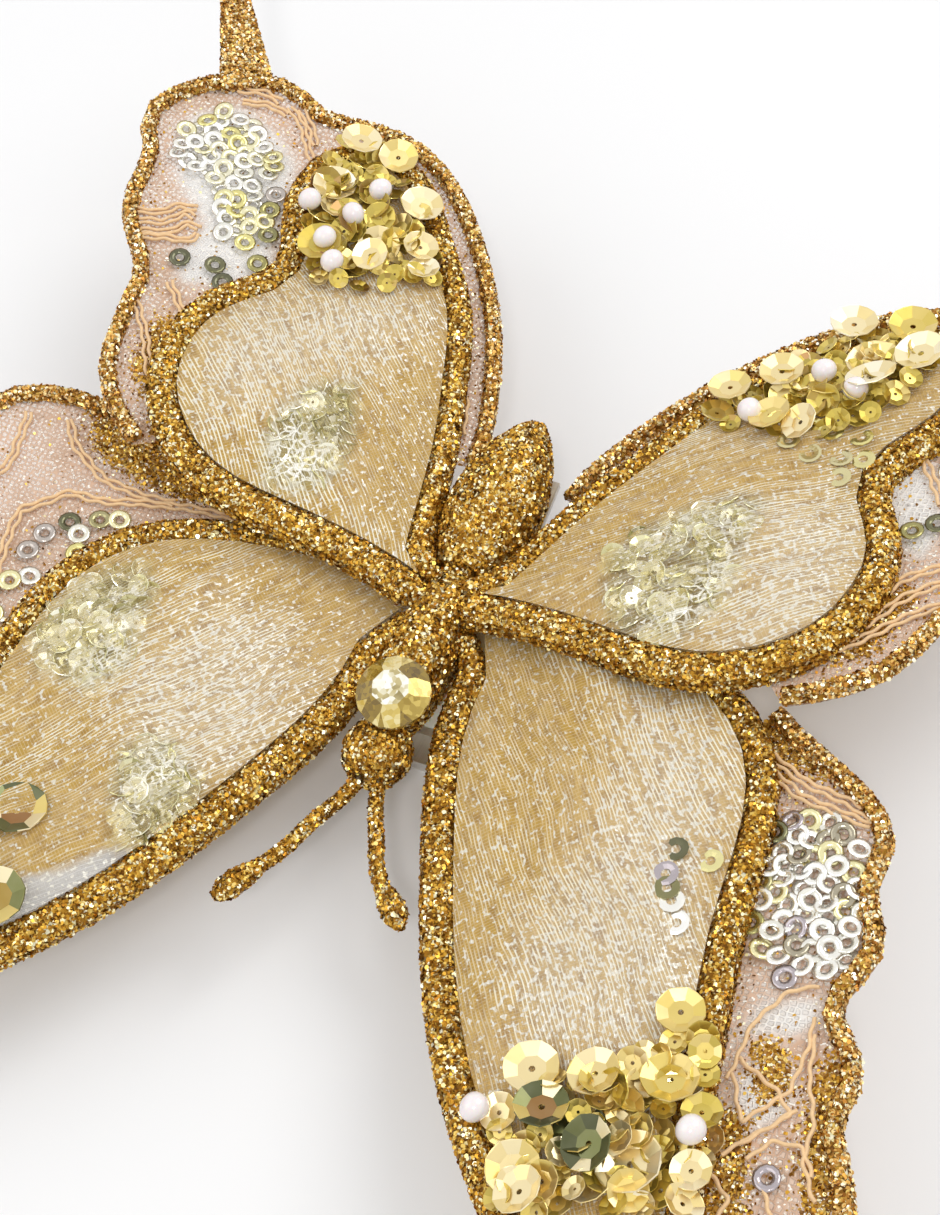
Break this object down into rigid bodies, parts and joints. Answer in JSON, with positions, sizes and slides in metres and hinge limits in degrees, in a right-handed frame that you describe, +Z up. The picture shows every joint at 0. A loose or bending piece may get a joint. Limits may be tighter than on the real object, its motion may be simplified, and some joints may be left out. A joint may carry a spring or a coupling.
{
  "type": "clip-on butterfly ornament",
  "caption": "Butterfly ornament with puffed organza and lace wings in glittered wire frames, a rounded body with a cut stone, two antennae, sequins and pearls, and a spring clip underneath.",
  "frame": {"origin": "on the surface that the clip lies on, under the middle of the roots of the forewings", "axes": "+Z up away from the clip, the head and antennae point along -Y, the tails along +Y, the wings spread along X"},
  "size_m": [0.1691, 0.1835, 0.0332],
  "materials": {
    "gold_glitter": "coarse gold glitter set in glue",
    "edging_glitter": "fine gold glitter on a bonded lace edge",
    "frame_wire": "annealed craft wire",
    "lace_net": "peach net with sparkle and corded veins",
    "champagne_organza": "sheer shot organza, puffed and folded",
    "cup_sequin": "faceted lustre film, gold, olive, amber and green",
    "ring_sequin": "silver lustre film",
    "pearl": "pearl lustre",
    "foiled_stone": "cut acrylic stone over silver foil",
    "hot_glue": "cloudy hot-melt glue",
    "clip_steel": "nickel-plated sheet",
    "spring_steel": "bare spring wire"
  },
  "bodies": {
    "butterfly": {"fore_left_frame_wire": "frame_wire", "fore_left_frame_glitter": "gold_glitter", "fore_left_lace": "lace_net", "fore_left_lace_edging": "edging_glitter", "fore_left_organza": "champagne_organza", "fore_left_cup_sequins": "cup_sequin", "fore_left_ring_sequins": "ring_sequin", "fore_left_pearls": "pearl", "fore_right_frame_wire": "frame_wire", "fore_right_frame_glitter": "gold_glitter", "fore_right_lace": "lace_net", "fore_right_lace_edging": "edging_glitter", "fore_right_organza": "champagne_organza", "fore_right_cup_sequins": "cup_sequin", "fore_right_ring_sequins": "ring_sequin", "fore_right_pearls": "pearl", "hind_left_frame_wire": "frame_wire", "hind_left_frame_glitter": "gold_glitter", "hind_left_lace": "lace_net", "hind_left_lace_edging": "edging_glitter", "hind_left_organza": "champagne_organza", "hind_left_cup_sequins": "cup_sequin", "hind_left_ring_sequins": "ring_sequin", "hind_left_pearls": "pearl", "hind_right_frame_wire": "frame_wire", "hind_right_frame_glitter": "gold_glitter", "hind_right_lace": "lace_net", "hind_right_lace_edging": "edging_glitter", "hind_right_organza": "champagne_organza", "hind_right_cup_sequins": "cup_sequin", "hind_right_ring_sequins": "ring_sequin", "hind_right_pearls": "pearl", "abdomen": "gold_glitter", "thorax": "gold_glitter", "head": "gold_glitter", "antenna_left_core": "frame_wire", "antenna_left_glitter": "gold_glitter", "antenna_right_core": "frame_wire", "antenna_right_glitter": "gold_glitter", "spine_wire": "frame_wire", "faceted_stone": "foiled_stone", "glue_pad": "hot_glue", "clip_upper": "clip_steel", "clip_pin": "clip_steel", "clip_spring": "spring_steel"},
    "clip_jaw": {"clip_lower": "clip_steel"}
  },
  "joints": [
    {"name": "clip_hinge", "type": "hinge", "parent": "butterfly", "child": "clip_jaw", "pos_m": [0, 0.004, 0.0037], "axis": [1, 0, 0], "range_deg": [0, 20], "stiffness_Nm_per_rad": 0.05, "springref_deg": -34.38}
  ]
}
